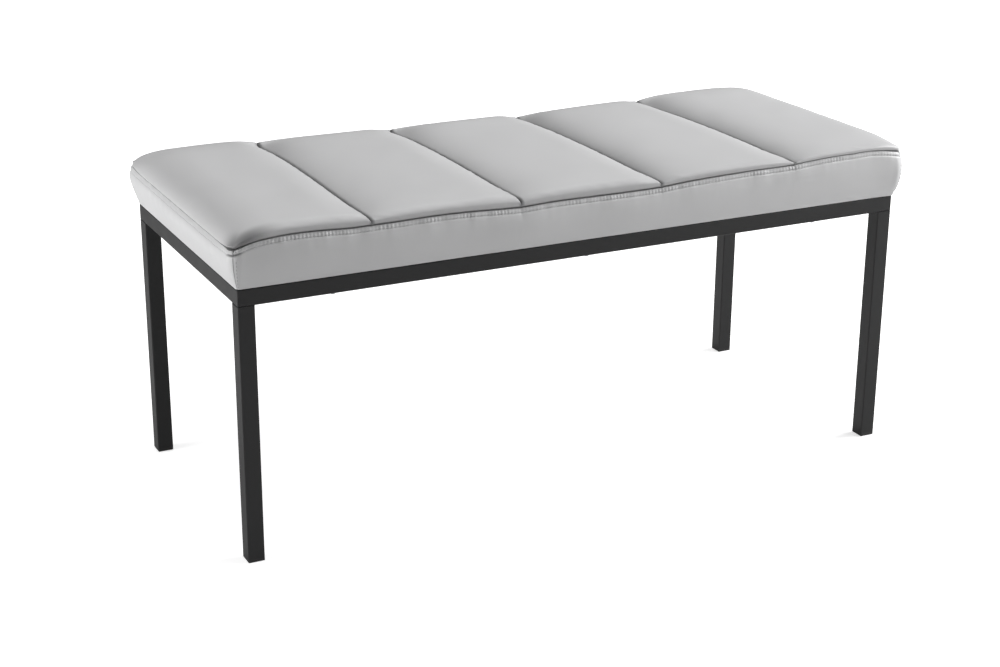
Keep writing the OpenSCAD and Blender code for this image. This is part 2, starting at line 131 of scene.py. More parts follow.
# White floor: it takes the bench's shadow, and glows a little for the camera, more so far away
def makeFloor(s):
    bpy.ops.mesh.primitive_plane_add(size=s["size"])
    floor = bpy.context.object
    floor.name = "studioFloor"
    mat = bpy.data.materials.new("floorPaint")
    mat.use_nodes = True
    nodes, links = mat.node_tree.nodes, mat.node_tree.links
    nodes.clear()
    out = nodes.new("ShaderNodeOutputMaterial")
    add = nodes.new("ShaderNodeAddShader")
    paint = nodes.new("ShaderNodeBsdfDiffuse")
    glow = nodes.new("ShaderNodeEmission")
    path = nodes.new("ShaderNodeLightPath")
    place = nodes.new("ShaderNodeTexCoord")
    away = nodes.new("ShaderNodeVectorMath")
    level = nodes.new("ShaderNodeMapRange")
    strength = nodes.new("ShaderNodeMath")
    setInputs(paint, {"Color": (s["colour"],) * 3 + (1,)})
    away.operation = "LENGTH"
    setInputs(level, {"From Min": s["reach"][0], "From Max": s["reach"][1],
                      "To Min": s["near"], "To Max": s["far"]})
    strength.operation = "MULTIPLY"
    links.new(place.outputs["Object"], away.inputs[0])
    links.new(away.outputs["Value"], level.inputs["Value"])
    links.new(path.outputs["Is Camera Ray"], strength.inputs[0])
    links.new(level.outputs["Result"], strength.inputs[1])
    links.new(strength.outputs[0], glow.inputs["Strength"])
    links.new(paint.outputs[0], add.inputs[0])
    links.new(glow.outputs[0], add.inputs[1])
    links.new(add.outputs[0], out.inputs["Surface"])
    floor.data.materials.append(mat)


for light in lightSettings:
    addLight(*light)
makeWorld(worldLevel)
makeFloor(floorSettings)


# Materials
print("stage 3: materials")


def addSockets(group, inputs, outputs):
    for way, sockets in (("INPUT", inputs), ("OUTPUT", outputs)):
        for name, kind in sockets.items():
            group.interface.new_socket(name, in_out=way, socket_type=f"NodeSocket{kind}")


# Mottled tone: a colour that drifts between two shades, and a mask of the same drift
def makeMottleGroup():
    group = bpy.data.node_groups.new("mottle", "ShaderNodeTree")
    addSockets(group, {"Place": "Vector", "Light shade": "Color", "Dark shade": "Color", "Scale": "Float"},
               {"Color": "Color", "Mask": "Float"})
    nodes, links = group.nodes, group.links
    enter = nodes.new("NodeGroupInput")
    leave = nodes.new("NodeGroupOutput")
    cloud = nodes.new("ShaderNodeTexNoise")
    setInputs(cloud, {"Detail": 4.0})
    blend = nodes.new("ShaderNodeMix")
    blend.data_type = "RGBA"
    links.new(enter.outputs["Place"], cloud.inputs["Vector"])
    links.new(enter.outputs["Scale"], cloud.inputs["Scale"])
    links.new(cloud.outputs["Fac"], blend.inputs["Factor"])
    links.new(enter.outputs["Dark shade"], blend.inputs["A"])
    links.new(enter.outputs["Light shade"], blend.inputs["B"])
    links.new(blend.outputs["Result"], leave.inputs["Color"])
    links.new(cloud.outputs["Fac"], leave.inputs["Mask"])
    return group


# Fine bumps, as of pebbled leather, powder coat or moulded plastic
def makePebbleGroup():
    group = bpy.data.node_groups.new("pebble", "ShaderNodeTree")
    addSockets(group, {"Place": "Vector", "Cell scale": "Float", "Drift scale": "Float",
                       "Drift share": "Float"}, {"Height": "Float"})
    nodes, links = group.nodes, group.links
    enter = nodes.new("NodeGroupInput")
    leave = nodes.new("NodeGroupOutput")
    cells = nodes.new("ShaderNodeTexVoronoi")
    cells.feature = "SMOOTH_F1"
    setInputs(cells, {"Smoothness": 0.4})
    cloud = nodes.new("ShaderNodeTexNoise")
    setInputs(cloud, {"Detail": 3.0})
    blend = nodes.new("ShaderNodeMix")
    links.new(enter.outputs["Place"], cells.inputs["Vector"])
    links.new(enter.outputs["Place"], cloud.inputs["Vector"])
    links.new(enter.outputs["Cell scale"], cells.inputs["Scale"])
    links.new(enter.outputs["Drift scale"], cloud.inputs["Scale"])
    links.new(enter.outputs["Drift share"], blend.inputs["Factor"])
    links.new(cells.outputs["Distance"], blend.inputs["A"])
    links.new(cloud.outputs["Fac"], blend.inputs["B"])
    links.new(blend.outputs["Result"], leave.inputs["Height"])
    return group


mottleGroup = makeMottleGroup()
pebbleGroup = makePebbleGroup()


def addGroup(nodes, links, group, place, values):
    node = nodes.new("ShaderNodeGroup")
    node.node_tree = group
    links.new(place, node.inputs["Place"])
    setInputs(node, values)
    return node


def addGrain(nodes, links, place, shader, s):
    pebbles = addGroup(nodes, links, pebbleGroup, place,
                       {"Cell scale": s["cells"], "Drift scale": s["drift"], "Drift share": s["share"]})
    bump = nodes.new("ShaderNodeBump")
    setInputs(bump, {"Strength": s["strength"], "Distance": s["depth"]})
    links.new(pebbles.outputs["Height"], bump.inputs["Height"])
    links.new(bump.outputs["Normal"], shader.inputs["Normal"])


# Painted shade: the darker colour that a sheet's shade value mixes into its own, down in the seams and
# channels
def addPaintedShade(nodes, links, colour, paintedShadeColour):
    paintedShade = nodes.new("ShaderNodeAttribute")
    paintedShade.attribute_name = "paintedShade"
    shade = nodes.new("ShaderNodeMix")
    shade.data_type = "RGBA"
    setInputs(shade, {"B": (*paintedShadeColour, 1)})
    links.new(paintedShade.outputs["Fac"], shade.inputs["Factor"])
    links.new(colour, shade.inputs["A"])
    return shade.outputs["Result"]


# A finish: mottled between two shades, with a roughness that may follow the mottling, and a grain in bump
def makeFinish(name, s):
    mat = bpy.data.materials.new(name)
    mat.use_nodes = True
    nodes, links = mat.node_tree.nodes, mat.node_tree.links
    shader = nodes["Principled BSDF"]
    setInputs(shader, {"Base Color": (*s["light"], 1), "Roughness": s["rough"],
                       "Metallic": s.get("metallic", 0.0), "Specular IOR Level": s.get("specular", 0.5)})
    place = nodes.new("ShaderNodeTexCoord").outputs["Object"]
    if "stretch" in s:
        squeeze = nodes.new("ShaderNodeMapping")
        setInputs(squeeze, {"Scale": s["stretch"]})
        links.new(place, squeeze.inputs["Vector"])
        place = squeeze.outputs["Vector"]
    tone = addGroup(nodes, links, mottleGroup, place,
                    {"Light shade": (*s["light"], 1), "Dark shade": (*s["dark"], 1), "Scale": s["mottle"]})
    colour = tone.outputs["Color"]
    # painted shade: a darker colour mixed in where the sheet's shade value says
    if "paintedShadeColour" in s:
        colour = addPaintedShade(nodes, links, colour, s["paintedShadeColour"])
    links.new(colour, shader.inputs["Base Color"])
    if "roughSpan" in s:
        spread = nodes.new("ShaderNodeMapRange")
        setInputs(spread, {"To Min": s["roughSpan"][0], "To Max": s["roughSpan"][1]})
        links.new(tone.outputs["Mask"], spread.inputs["Value"])
        links.new(spread.outputs["Result"], shader.inputs["Roughness"])
    if "grain" in s:
        addGrain(nodes, links, place, shader, s["grain"])
    return mat


leatherette = makeFinish("greyLeatherette", {
    "light": (0.60, 0.60, 0.605), "dark": (0.575, 0.575, 0.58), "mottle": 9.0,
    # colour of the painted shade in the seams and channels
    "paintedShadeColour": (0.205, 0.205, 0.208),
    "rough": 0.46, "roughSpan": (0.42, 0.52),
    "grain": {"cells": 900.0, "drift": 60.0, "share": 0.25, "strength": 0.35, "depth": 0.00012},
})
thread = makeFinish("greyThread", {
    "light": (0.40, 0.40, 0.405), "dark": (0.30, 0.30, 0.304), "mottle": 900.0, "rough": 0.6,
    "grain": {"cells": 2600.0, "drift": 1200.0, "share": 0.5, "strength": 0.5, "depth": 0.0001},
})
powderCoat = makeFinish("blackPowderCoat", {
    "light": (0.013, 0.013, 0.0135), "dark": (0.009, 0.009, 0.0095), "mottle": 35.0,
    "rough": 0.5, "roughSpan": (0.44, 0.56), "specular": 0.45,
    "grain": {"cells": 700.0, "drift": 420.0, "share": 0.5, "strength": 0.3, "depth": 0.00012},
})
plastic = makeFinish("blackPlastic", {
    "light": (0.02, 0.02, 0.02), "dark": (0.014, 0.014, 0.014), "mottle": 60.0, "rough": 0.55,
    "grain": {"cells": 1500.0, "drift": 300.0, "share": 0.3, "strength": 0.35, "depth": 0.0001},
})
zinc = makeFinish("zincPlate", {
    "light": (0.62, 0.63, 0.66), "dark": (0.48, 0.49, 0.52), "mottle": 160.0,
    "rough": 0.35, "roughSpan": (0.28, 0.45), "metallic": 1.0,
})
plywood = makeFinish("plywood", {
    "light": (0.6, 0.44, 0.27), "dark": (0.45, 0.3, 0.16), "mottle": 3.0, "rough": 0.7,
    "stretch": (2.0, 40.0, 40.0),  # the wood's fibres run along the bench
    "grain": {"cells": 20.0, "drift": 12.0, "share": 0.6, "strength": 0.3, "depth": 0.0002},
})
felt = makeFinish("blackFelt", {
    "light": (0.03, 0.03, 0.032), "dark": (0.016, 0.016, 0.018), "mottle": 240.0, "rough": 0.9,
    "grain": {"cells": 420.0, "drift": 900.0, "share": 0.5, "strength": 0.5, "depth": 0.0002},
})
foamSkin = makeFinish("seatFoam", {
    "light": (0.8, 0.76, 0.58), "dark": (0.7, 0.65, 0.46), "mottle": 120.0, "rough": 0.95,
    "grain": {"cells": 800.0, "drift": 300.0, "share": 0.3, "strength": 0.6, "depth": 0.0003},
})


# The frame and fixings keep their CAD shapes
print("stage 4: frame finish")
finishes = {
    "rail": powderCoat, "brace": powderCoat, "leg": powderCoat, "foot_cap": plastic,
    "leg_nut": zinc, "leg_bolts": zinc, "leg_washers": zinc, "tee_nuts": zinc,
    "seat_bolts": zinc, "seat_washers": zinc, "seat_board": plywood,
}


def finishNodes(table):
    for name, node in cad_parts.items():
        keys = [k for k in table if k in name]
        if not keys:
            continue
        mat = table[max(keys, key=len)]
        for place in node.material_slots:
            place.material = mat


finishNodes(finishes)


# Seat shape. Heights are above the rails; x runs along the bench and y from front to back
print("stage 5: seat shape")
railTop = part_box("front_rail")[1][2]
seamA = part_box("top_panel_5")[1][0]      # half length of the seam round the top
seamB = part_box("top_panel_3")[1][1]      # half width
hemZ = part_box("front_band")[0][2]        # underside of the hem
channels = [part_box(f"top_panel_{k}")[1][0] for k in range(1, 5)]
edges = [-seamA] + channels + [seamA]
panelCount = 5
hairline = 1e-6  # a point closer to a seam than this lies on it
seat = {
    "crown": [0.0865, 0.0845, 0.0840, 0.0850, 0.0870],
    "belly": 0.003,
    "channel": [0.0715, 0.0705, 0.0670, 0.0685],
    # rise of the channels near the front: height, place behind the seam and reach
    "hump": (0.0055, 0.015, 0.045),
    # how far each channel lies beside its even place, near the front and near the back
    "lean": [(-0.0065, -0.0035), (-0.0045, -0.0048), (-0.0010, -0.0025), (0.0085, 0.0040)],
    "leanAtFront": (-0.0040, 0.06),  # and by how much more at the very front, and its reach
    "leanSpan": (-0.10, 0.12),      # y between which it changes from its front to its back value
    "leanReach": 0.06,
    "leanLost": (0.45, 12),         # share of it lost at the seams, and the power of that loss
    "endSeams": (0.058, 0.080),
    "endTilt": (0.0, -0.018),       # rise of that seam from front to back, per metre
    # seam along the front: places along x and heights there
    "frontPlaces": [-0.552, -0.535, -0.515, -0.485, -0.445, -0.405, -0.375, -0.3435, -0.30, -0.26,
                    -0.20, -0.15, -0.1145, -0.065, 0.0, 0.06, 0.1145, 0.16, 0.21, 0.27,
                    0.3435, 0.375, 0.41, 0.455, 0.49, 0.515, 0.535, 0.552],
    "frontSeam": [0.0580, 0.0625, 0.0672, 0.0702, 0.0710, 0.0695, 0.0680, 0.0682, 0.0685, 0.0693,
                  0.0685, 0.0663, 0.0652, 0.0668, 0.0665, 0.0663, 0.0668, 0.0698, 0.0718, 0.0733,
                  0.0742, 0.0763, 0.0782, 0.0790, 0.0795, 0.0775, 0.0745, 0.0720],
    # and along the back: corners and channels, and how far it arcs up between them
    "backSeam": [0.0645, 0.0675, 0.064, 0.061, 0.0665, 0.068],
    "bow": [0.0070, 0.0015, 0.0020, 0.0016, 0.0065],
    "bowPower": 3.5,
    "backSink": (0.0045, 0.024, 0.036),  # depth and reach, along and across, of the pull at the channels
    "sideRun": 0.070,               # gentle slope towards the front and back
    "sideShare": 0.82,              # share of the drop that the tight roll at the edge takes
    "rollPlaces": [-0.55, -0.45, -0.20, 0.0, 0.55],
    "rollRuns": [0.026, 0.021, 0.018, 0.012, 0.013],
    "backRoll": 0.078,
    "endRuns": (0.070, 0.035),
    "endCut": 0.025,                # the slope at the ends starts this share into a quarter ellipse
    "before": [(0.15, 0.007), (0.85, 0.037)],  # a panel's rise from the channel on its left: share, reach
    "runAfter": 0.055,              # and its slope down to the channel on its right,
    "rollAfter": 0.005,             # where it rolls over tightly
    "rollDrop": 0.0040,
    "notch": (0.0005, 0.0025),      # dip of the seam where a channel runs into it, and its reach
    "cornerRadius": 0.014,
    "topCorner": 0.017,             # corner radius of the seam, fuller than at the rails
    "rightCorner": (0.0105, 0.045),  # drop of the right end towards its front corner, and its reach
    "sheet": 0.0012,
}
arcShare = 1 - math.cos(math.radians(45))  # share of its radius by which rounding moves a corner in


# 1 at distance 0, falling off beyond the reach
def fall(d, reach, power=2):
    return np.exp(-(d / reach) ** power)


def ellipse(d, run):
    return np.sqrt(np.clip(1 - (1 - np.clip(d / run, 0, 1)) ** 2, 0, 1))


def parabola(d, run):
    return 1 - (1 - np.clip(d / run, 0, 1)) ** 2


def cutEllipse(d, run):
    cut = seat["endCut"]
    start = math.sqrt(1 - (1 - cut) ** 2)
    return (ellipse(cut + (1 - cut) * np.clip(d / run, 0, 1), 1.0) - start) / (1 - start)


# Smooth curve through heights given at places
def curveThrough(x, places, heights):
    places, heights = np.array(places), np.array(heights)
    slopes = np.gradient(heights, places)
    k = np.clip(np.searchsorted(places, x) - 1, 0, len(places) - 2)
    span = places[k + 1] - places[k]
    s = np.clip((x - places[k]) / span, 0, 1)
    return (heights[k] * (1 + 2 * s) * (1 - s) ** 2 + slopes[k] * span * s * (1 - s) ** 2
            + heights[k + 1] * s ** 2 * (3 - 2 * s) - slopes[k + 1] * span * s ** 2 * (1 - s))


# The channels don't lie quite evenly: sideways shift of the cover there
def leaning(x, y):
    shift = np.zeros_like(x)
    low, high = seat["leanSpan"]
    more, reach = seat["leanAtFront"]
    for c, (front, back) in zip(channels, seat["lean"]):
        s = np.clip((y - low) / (high - low), 0, 1)
        along = front * (1 - s) + back * s + more * fall(y + seamB, reach)
        shift = shift + along * fall(x - c, seat["leanReach"])
    lost, power = seat["leanLost"]
    return shift * (1 - lost * (y / seamB) ** power)


def besideChannels(x, reach):
    return sum(fall(x - c, reach) for c in channels)


def toSeam(x, y):
    return np.minimum(seamA - np.abs(x), seamB - np.abs(y))


# Value at each place by a function of the panel that it lies on
def panelWise(function, x, y):
    which = np.clip(np.searchsorted(edges, x) - 1, 0, panelCount - 1)
    return np.select([which == i for i in range(panelCount)], [function(i, x, y) for i in range(panelCount)])


def seamHeight(i, x, y):
    s = (x - edges[i]) / (edges[i + 1] - edges[i])
    back = seat["backSeam"][i] * (1 - s) + seat["backSeam"][i + 1] * s
    back = back + seat["bow"][i] * (1 - np.abs(2 * s - 1) ** seat["bowPower"])
    front = curveThrough(x, seat["frontPlaces"], seat["frontSeam"])
    depth, reach = seat["notch"]
    return np.where(y < 0, front, back) - depth * besideChannels(x, reach)


def channelHeight(k, y):
    rise, place, reach = seat["hump"]
    return seat["channel"][k] + rise * fall(y + seamB - place, reach)


def middleHeight(i, x, y):
    top = seat["crown"][i]
    ends = [seat["endSeams"][k] + seat["endTilt"][k] * y for k in (0, 1)]
    drop, reach = seat["rightCorner"]
    ends[1] = ends[1] - drop * fall(y + seamB, reach)
    if i == 0:
        below = (top - ends[0]) * (1 - cutEllipse(x - edges[i], seat["endRuns"][0]))
    else:
        rise = sum(share * fall(x - edges[i], reach, power=1) for share, reach in seat["before"])
        below = (top - channelHeight(i - 1, y)) * rise
    if i == panelCount - 1:
        after = (top - ends[1]) * (1 - cutEllipse(edges[i + 1] - x, seat["endRuns"][1]))
    else:
        d = edges[i + 1] - x
        after = (seat["rollDrop"] * (1 - ellipse(d, seat["rollAfter"]))
                 + (top - channelHeight(i, y) - seat["rollDrop"]) * (1 - parabola(d, seat["runAfter"])))
    return top - below - after


def topHeight(i, x, y):
    d = seamB - np.abs(y)
    roll = np.where(y < 0, np.interp(x, seat["rollPlaces"], seat["rollRuns"]), seat["backRoll"])
    r = seat["sideShare"] * ellipse(d, roll) + (1 - seat["sideShare"]) * ellipse(d, seat["sideRun"])
    arch = seat["belly"] * (1 - (y / seamB) ** 2) * ellipse(seamA - np.abs(x), seat["endRuns"][0])
    sink, reach, deep = seat["backSink"]
    sink = sink * besideChannels(x, reach) * np.where(y > 0, d / deep * np.exp(1 - d / deep), 0)
    return seamHeight(i, x, y) * (1 - r) + (middleHeight(i, x, y) + arch) * r - sink


# Place in plan with the seat's corners rounded, and the direction out of the rim there
def roundedPlan(x, y, radius):
    cx = np.maximum(np.abs(x) - seamA + radius, 0) / radius
    cy = np.maximum(np.abs(y) - seamB + radius, 0) / radius
    k = radius * arcShare
    out = np.stack([np.sign(x) * cx * (1 - arcShare * cy ** 2),
                    np.sign(y) * cy * (1 - arcShare * cx ** 2)], -1)
    size = np.linalg.norm(out, axis=-1, keepdims=True)
    out = np.divide(out, size, out=np.zeros_like(out), where=size > 0)
    return x + leaning(x, y) - np.sign(x) * k * cx * cy ** 2, y - np.sign(y) * k * cy * cx ** 2, out


# Height over which a panel turns into its seam: slight at the ends, highest at the front corners.
# The turn goes in deeper than it is high, and the band below takes only a share of the height.
creaseSettings = {
    "side": 0.0030, "rightSide": 0.0016,
    "sideSpan": (0.15, 0.45),      # x between which the long sides change from the one to the other
    "end": 0.0005, "endReach": 0.030,
    "corner": 0.0022, "cornerReach": 0.024,
    "backCorner": 0.7,             # share of the whole that is lost at the back corners
    "deep": 1.5, "bandShare": 0.35,
    "tuck": 0.0012, "tuckReach": 0.0045,  # the band draws in just below the seam
}


def creaseRadius(x, y):
    s = creaseSettings
    toEndCorner, toSideCorner = seamB - np.abs(y), seamA - np.abs(x)
    onSide = toEndCorner < hairline
    toCorner = np.where(onSide, toSideCorner, toEndCorner)
    side = np.interp(x, s["sideSpan"], [s["side"], s["rightSide"]])
    base = np.where(onSide, side, s["end"] + (side - s["end"]) * fall(toCorner, s["endReach"]))
    radius = base + s["corner"] * fall(toCorner, s["cornerReach"])
    atCorner = fall(toSideCorner, s["cornerReach"]) * fall(toEndCorner, s["endReach"])
    return radius * (1 - s["backCorner"] * atCorner * (y > 0))


# Smooth drift from a few seeded waves, about -1 to 1
def drift(x, y, wavelength, seed, count=14, spread=(0.7, 1.4)):
    rng = np.random.default_rng(seed)
    total = np.zeros_like(x)
    for _ in range(count):
        turn, phase = rng.uniform(0, 2 * math.pi, 2)
        k = 2 * math.pi / (wavelength * rng.uniform(*spread))
        total += np.sin(k * (x * math.cos(turn) + y * math.sin(turn)) + phase)
    return total / math.sqrt(count)


# Stations from both ends, closest together there
def stationsBetween(low, high, near, far, grow=1.25):
    half, at, step = [0.0], 0.0, near
    while at + step < (high - low) / 2:
        at += step
        half.append(at)
        step = min(step * grow, far)
    left = [low + d for d in half]
    right = [high - d for d in reversed(half)]
    if right[0] - left[-1] > 0.5 * far:
        left.append((left[-1] + right[0]) / 2)
    return np.array(left + right)


# How far in and down a rounded turn has gone at an angle in degrees, as shares of its radius
def turnShares(angle):
    return 1 - math.cos(math.radians(angle)), math.sin(math.radians(angle))


# Places over a box in plan, about a step apart
def evenGrid(low, high, step):
    places = [np.linspace(low[k], high[k], round((high[k] - low[k]) / step)) for k in (0, 1)]
    return np.meshgrid(*places, indexing="ij")


def rimOf(grid):
    return np.concatenate([grid[:, 0], grid[-1, 1:], grid[-2::-1, -1], grid[0, -2:0:-1]])


# Gives a sheet its wall, thinner where folded under
def thicken(piece, wall, folded, foldedShare=0.2):
    bpy.ops.object.select_all(action="DESELECT")
    bpy.context.view_layer.objects.active = piece
    piece.select_set(True)
    full = piece.vertex_groups.new(name="full")
    full.add([k for k in range(len(piece.data.vertices)) if k not in folded], 1.0, "REPLACE")
    solid = piece.modifiers.new("wall", "SOLIDIFY")
    solid.thickness = wall
    solid.offset = -1
    solid.use_rim = True
    solid.vertex_group = full.name
    solid.thickness_vertex_group = foldedShare
    bpy.ops.object.modifier_apply(modifier=solid.name)
    piece.vertex_groups.clear()


def gridFaces(index):
    return np.stack([index[:-1, :-1], index[1:, :-1], index[1:, 1:], index[:-1, 1:]], -1).reshape(-1, 4)


def ringFaces(inner, outer):
    return np.stack([np.roll(inner, -1), inner, outer, np.roll(outer, -1)], -1)


def addPiece(name, verts, faces, mat):
    mesh = bpy.data.meshes.new(name)
    mesh.from_pydata(verts.tolist(), [], faces)
    mesh.materials.append(mat)
    piece = bpy.data.objects.new(name, mesh)
    scene.collection.objects.link(piece)
    return piece


# Sheet from a grid of points; each ring of points goes on from the grid's rim. The shade value, 0 to 1,
# tells the material how much painted shade it puts on: a grid of values, and the rings are fully shaded.
def sheetObject(name, points, rings, mat, wall, foldedRows=0, paintedShade=None):
    rows, cols = points.shape[:2]
    index = np.arange(rows * cols).reshape(rows, cols)
    verts, faces, inner = [points.reshape(-1, 3)], [gridFaces(index)], rimOf(index)
    count = rows * cols
    for ring in rings:
        outer = np.arange(count, count + len(ring))
        verts.append(ring)
        faces.append(ringFaces(inner, outer))
        inner, count = outer, count + len(ring)
    piece = addPiece(name, np.concatenate(verts), np.concatenate(faces).tolist(), mat)
    if paintedShade is not None:
        values = np.ones(count, dtype=np.float32)
        values[:rows * cols] = paintedShade.reshape(-1)
        piece.data.attributes.new("paintedShade", "FLOAT", "POINT").data.foreach_set("value", values)
    folded = set(range(rows * cols, count))
    for k in range(foldedRows):
        folded.update(index[k].tolist() + index[-1 - k].tolist())
    thicken(piece, wall, folded)
    piece.data.shade_smooth()
    return piece


# A padded piece that stands for a CAD node
def declarePadded(piece, node):
    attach(piece, "root")
    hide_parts(node)


# The five panels of the top, each a sheet that turns down into its seams
print("stage 6: top panels")
panelSettings = {
    "near": 0.0004, "far": 0.0032,      # spacing of the points, at the seams and away from them
    "waves": [(0.17, 0.0005), (0.07, 0.00018)],  # wavelength and height of the surface's drift
    "waveSeed": 10, "waveClear": 0.03,  # it fades out over this distance to a seam
    "pull": (0.026, 0.0003, 0.014),     # wavelength, height and reach of the pull at the seams
    "pullSeeds": (50, 70),              # along the channels and along the rim
    "pullStart": 0.004,                 # it grows over this distance from its seam
    "pullClear": 0.02,                  # and fades out over this one from a channel to the rim
    "pullSkew": 0.15,
    "turns": [22, 45, 68, 90],          # degrees of the turn into the seam
    "shoulder": 0.006,                  # reach of the rise beside that turn
    "foldIn": 0.0035,
    "mouth": (0.0020, 0.0060, 0.0080),  # width left and right of a channel, and depth
    "mouthStart": 0.005,                # it deepens over this distance from the rim
    # painted shade along the channels, beside them, just above the long seams and at the front left corner
    "shade": (0.0036, 0.0058),          # width of its dark line, left and right
    "shadeTail": ((0.0, 0.22, 0.30, 0.58, 0.45), 0.024),  # strength right of each channel, and its reach
    "rimShade": (0.35, 0.0035),         # and just above the seams of the long sides
    # painted shade at the front left corner: height, place and reach along the front, reach along the end
    "cornerShade": (0.019, 0.020, 0.036, 0.026),
    "foldDown": 0.004,
    "gap": 0.00015,
}


# How far a panel has turned down into its channels
def channelMouth(i, x):
    leftWidth, rightWidth, depth = panelSettings["mouth"]
    mouth = np.zeros_like(x)
    if i < panelCount - 1:
        mouth = mouth + 1 - ellipse(edges[i + 1] - x, leftWidth)
    if i > 0:
        mouth = mouth + 1 - ellipse(x - edges[i], rightWidth)
    return depth * mouth


def topSurface(i, x, y):
    s = panelSettings
    z = topHeight(i, x, y)
    toRim = toSeam(x, y)
    beyond = edges[i + 1] - x if i < panelCount - 1 else np.full_like(x, 1.0)
    before = x - edges[i] if i > 0 else np.full_like(x, 1.0)
    toChannel = np.minimum(before, beyond)
    inside = np.clip(np.minimum(toRim, toChannel) / s["waveClear"], 0, 1)
    for k, (wavelength, height) in enumerate(s["waves"]):
        z = z + height * inside * drift(x, y, wavelength, s["waveSeed"] * i + k)
    wavelength, height, reach = s["pull"]
    channelSeed, rimSeed = s["pullSeeds"]
    start, skew = s["pullStart"], s["pullSkew"]
    near = fall(toChannel, reach, power=1) * np.clip(toChannel / start, 0, 1)
    near = near * np.clip(toRim / s["pullClear"], 0, 1)
    z = z + height * near * drift(y, skew * x, wavelength, channelSeed + i)
    near = fall(toRim, reach, power=1) * np.clip(toRim / start, 0, 1)
    z = z + height * near * drift(x + y, skew * (x - y), wavelength, rimSeed + i)
    return z - channelMouth(i, x) * np.clip(toRim / s["mouthStart"], 0, 1)


# Rings of points that take a panel's rim down into its seams
def panelRings(x, y, points, out):
    s = panelSettings
    rimX, rimY, rimPoint, rimOut = rimOf(x), rimOf(y), rimOf(points), rimOf(out)
    onSeam = toSeam(rimX, rimY) < hairline
    radius = creaseRadius(rimX, rimY)
    turned = [(creaseSettings["deep"] * radius * inwards, radius * down)
              for inwards, down in map(turnShares, s["turns"])]
    turned.append((turned[-1][0] + s["foldIn"], turned[-1][1]))
    rings = []
    for k, (inwards, down) in enumerate(turned):
        ring = rimPoint.copy()
        ring[:, :2] -= np.where(onSeam[:, None], rimOut * inwards[:, None], 0)
        ring[:, 2] -= np.where(onSeam, down, s["foldDown"] * (k + 1) / len(turned))
        rings.append(ring)
    return rings


# Painted shade: darker in the channels and beside them, just above the seams and in the pull at the front
# left corner
def panelPaintedShade(i, x, y):
    s = panelSettings
    leftWidth, rightWidth = s["shade"]
    onLeft = fall(edges[i + 1] - x, leftWidth) if i < panelCount - 1 else 0 * x
    onRight = fall(x - edges[i], rightWidth, power=4) if i > 0 else 0 * x
    tail, reach = s["shadeTail"]
    onRight = np.maximum(onRight, tail[i] * fall(x - edges[i], reach, power=1))
    high, place, alongFront, alongEnd = s["cornerShade"]
    pulled = fall(x + seamA - place, alongFront) * fall(y + seamB, alongEnd)
    pulled = pulled * fall(toSeam(x, y), high, power=4)
    strength, reach = s["rimShade"]
    beside = strength * fall(seamB - np.abs(y), reach, power=1)
    return np.max([onLeft, onRight, pulled, beside], axis=0)


def makePanel(i):
    s = panelSettings
    low = edges[i] + (s["gap"] if i > 0 else 0)
    high = edges[i + 1] - (s["gap"] if i < panelCount - 1 else 0)
    x, y = np.meshgrid(stationsBetween(low, high, s["near"], s["far"]),
                       stationsBetween(-seamB, seamB, s["near"], s["far"]), indexing="ij")
    px, py, out = roundedPlan(x, y, seat["topCorner"])
    z = railTop + topSurface(i, x, y) + creaseRadius(x, y) * fall(toSeam(x, y), s["shoulder"], power=1)
    points = np.stack([px, py, z], -1)
    piece = sheetObject(f"topPanel{i + 1}", points, panelRings(x, y, points, out), leatherette, seat["sheet"],
                        paintedShade=panelPaintedShade(i, x, y))
    declarePadded(piece, f"top_panel_{i + 1}")


for number in range(panelCount):
    makePanel(number)


